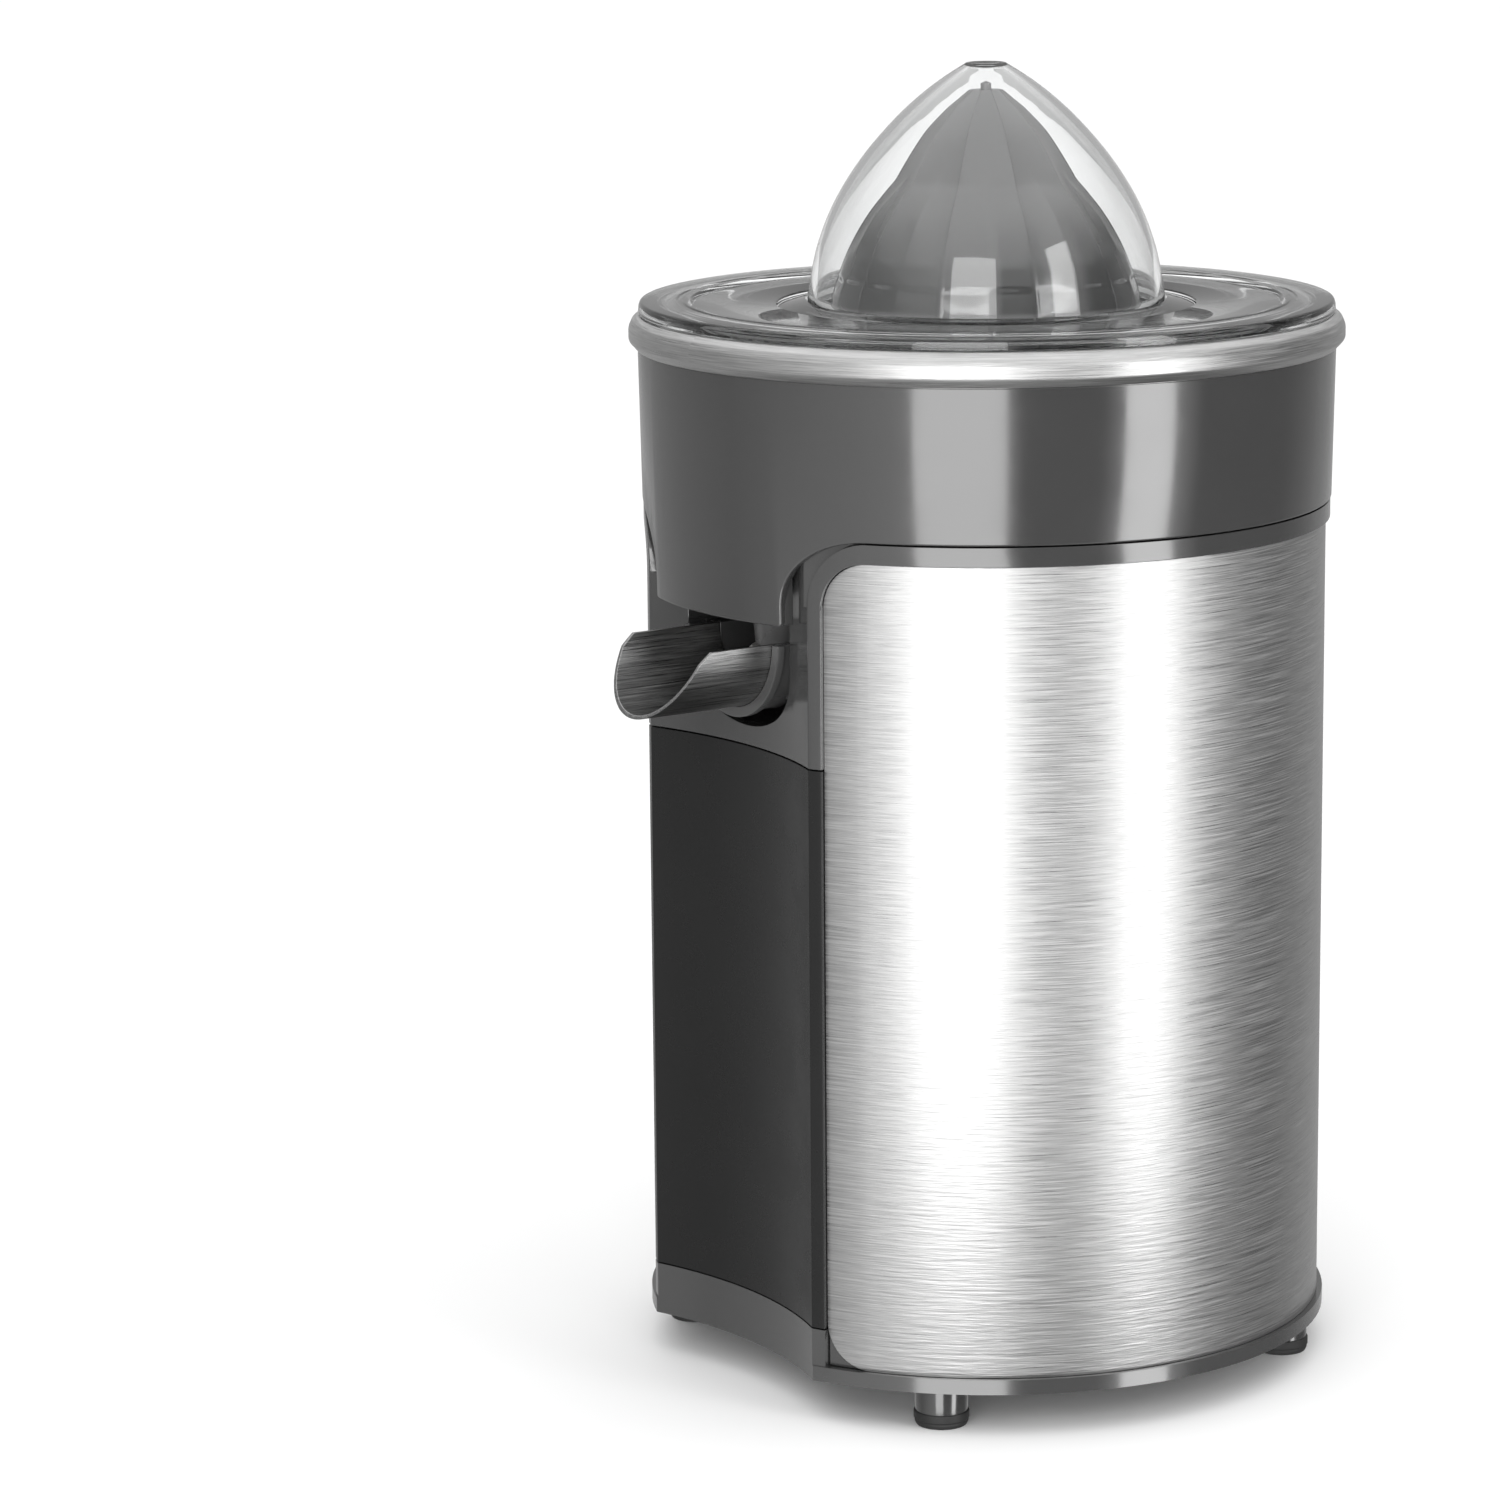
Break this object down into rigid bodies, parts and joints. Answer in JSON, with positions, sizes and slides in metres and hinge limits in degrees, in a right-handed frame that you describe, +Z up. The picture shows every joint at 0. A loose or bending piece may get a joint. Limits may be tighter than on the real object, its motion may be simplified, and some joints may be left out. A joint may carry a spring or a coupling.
{
  "type": "citrus press juicer",
  "caption": "Tall electric citrus press: ribbed cone under a clear domed cover, round juice bowl, steel-clad body with a hollow front, tilting steel spout and short feet.",
  "frame": {"origin": "on the surface that the feet stand on, at the middle of the bounding box; the spindle axis stands 8.1 mm behind it", "axes": "+Z up along the spindle, -Y forwards to the spout, +X to the left-hand side of someone who faces the spout's way"},
  "size_m": [0.1629, 0.179, 0.2979],
  "materials": {
    "dark_gloss": "gloss",
    "dark_satin": "satin",
    "cone_grey": "gloss",
    "clear": "clear gloss",
    "brushed_steel": "brushed",
    "rubber": "matt",
    "natural_plastic": "satin",
    "machined_steel": "machined",
    "lamination": "oiled",
    "bronze": "sintered",
    "winding": "taped",
    "black_plastic": "satin",
    "silicone": "matt"
  },
  "bodies": {
    "base": {"feet": "dark_gloss", "rubber_tips": "rubber", "base_housing": "dark_gloss", "cord_gland": "black_plastic", "base_screws": "machined_steel", "terminal_block": "natural_plastic", "steel_wrap": "brushed_steel", "main_housing": "dark_gloss", "front_cover": "dark_satin", "deck": "dark_satin", "upper_bush": "bronze", "shaft_seal": "silicone", "gearbox_housing": "natural_plastic", "gearbox_cover": "natural_plastic", "gearbox_screws": "machined_steel", "lower_bush": "bronze", "idler_pin": "machined_steel", "return_spring": "machined_steel", "spring_bracket": "lamination", "microswitch": "black_plastic", "motor_core": "lamination", "motor_coil": "winding", "motor_upper_bracket": "machined_steel", "motor_lower_bracket": "machined_steel", "motor_bushes": "bronze", "motor_studs": "machined_steel"},
    "carriage": {"press_carriage": "natural_plastic"},
    "shaft": {"drive_shaft": "machined_steel"},
    "output": {"output_gear": "natural_plastic"},
    "idler": {"idler_gear": "natural_plastic"},
    "motor_rotor": {"rotor": "lamination", "motor_shaft": "machined_steel", "motor_pinion": "machined_steel", "cooling_fan": "black_plastic"},
    "plunger": {"switch_plunger": "natural_plastic"},
    "juice_bowl": {"bowl": "dark_gloss", "rim_band": "brushed_steel"},
    "cover": {"dust_cover": "clear"},
    "filter": {"strainer": "cone_grey"},
    "reamer": {"large_cone": "cone_grey", "small_cone": "cone_grey"},
    "spout": {"spout_trough": "brushed_steel", "spout_holder": "dark_satin", "spout_pin": "machined_steel", "spout_seal": "silicone"}
  },
  "joints": [
    {"name": "shaft_press", "type": "slide", "parent": "base", "child": "carriage", "axis": [0, 0, 1], "range_m": [-0.0025, 0], "stiffness_N_per_m": 2000, "springref_m": 0.003, "deforming": ["return_spring"]},
    {"name": "shaft_spin", "type": "hinge", "parent": "carriage", "child": "shaft", "pos_m": [0, 0.0081, 0.147], "axis": [0, 0, 1], "continuous": true},
    {"name": "output_spin", "type": "hinge", "parent": "base", "child": "output", "pos_m": [0, 0.0081, 0.17], "axis": [0, 0, 1], "continuous": true},
    {"name": "idler_spin", "type": "hinge", "parent": "base", "child": "idler", "pos_m": [0, 0.0465, 0.165], "axis": [0, 0, 1], "continuous": true},
    {"name": "motor_spin", "type": "hinge", "parent": "base", "child": "motor_rotor", "pos_m": [-0.02011, 0.02963, 0.092], "axis": [0, 0, 1], "continuous": true},
    {"name": "plunger_press", "type": "slide", "parent": "base", "child": "plunger", "axis": [0, 0, 1], "range_m": [-0.0025, 0]},
    {"name": "bowl_lift", "type": "slide", "parent": "base", "child": "juice_bowl", "axis": [0, 0, 1], "range_m": [0, 0.062]},
    {"name": "cover_lift", "type": "slide", "parent": "juice_bowl", "child": "cover", "axis": [0, 0, 1], "range_m": [0, 0.06]},
    {"name": "filter_press", "type": "slide", "parent": "juice_bowl", "child": "filter", "axis": [0, 0, 1], "range_m": [-0.0025, 0]},
    {"name": "cone_spin", "type": "hinge", "parent": "filter", "child": "reamer", "pos_m": [0, 0.0081, 0.24], "axis": [0, 0, 1], "continuous": true},
    {"name": "spout_tilt", "type": "hinge", "parent": "base", "child": "spout", "pos_m": [0, -0.0419, 0.163], "axis": [1, 0, 0], "range_deg": [0, 10]}
  ],
  "couplings": [
    {"joint": "idler_spin", "follows": "motor_spin", "ratio": -0.25},
    {"joint": "output_spin", "follows": "motor_spin", "ratio": 0.05},
    {"joint": "shaft_spin", "follows": "motor_spin", "ratio": 0.05},
    {"joint": "cone_spin", "follows": "motor_spin", "ratio": 0.05},
    {"joint": "filter_press", "follows": "shaft_press", "ratio": 1},
    {"joint": "plunger_press", "follows": "shaft_press", "ratio": 1}
  ]
}
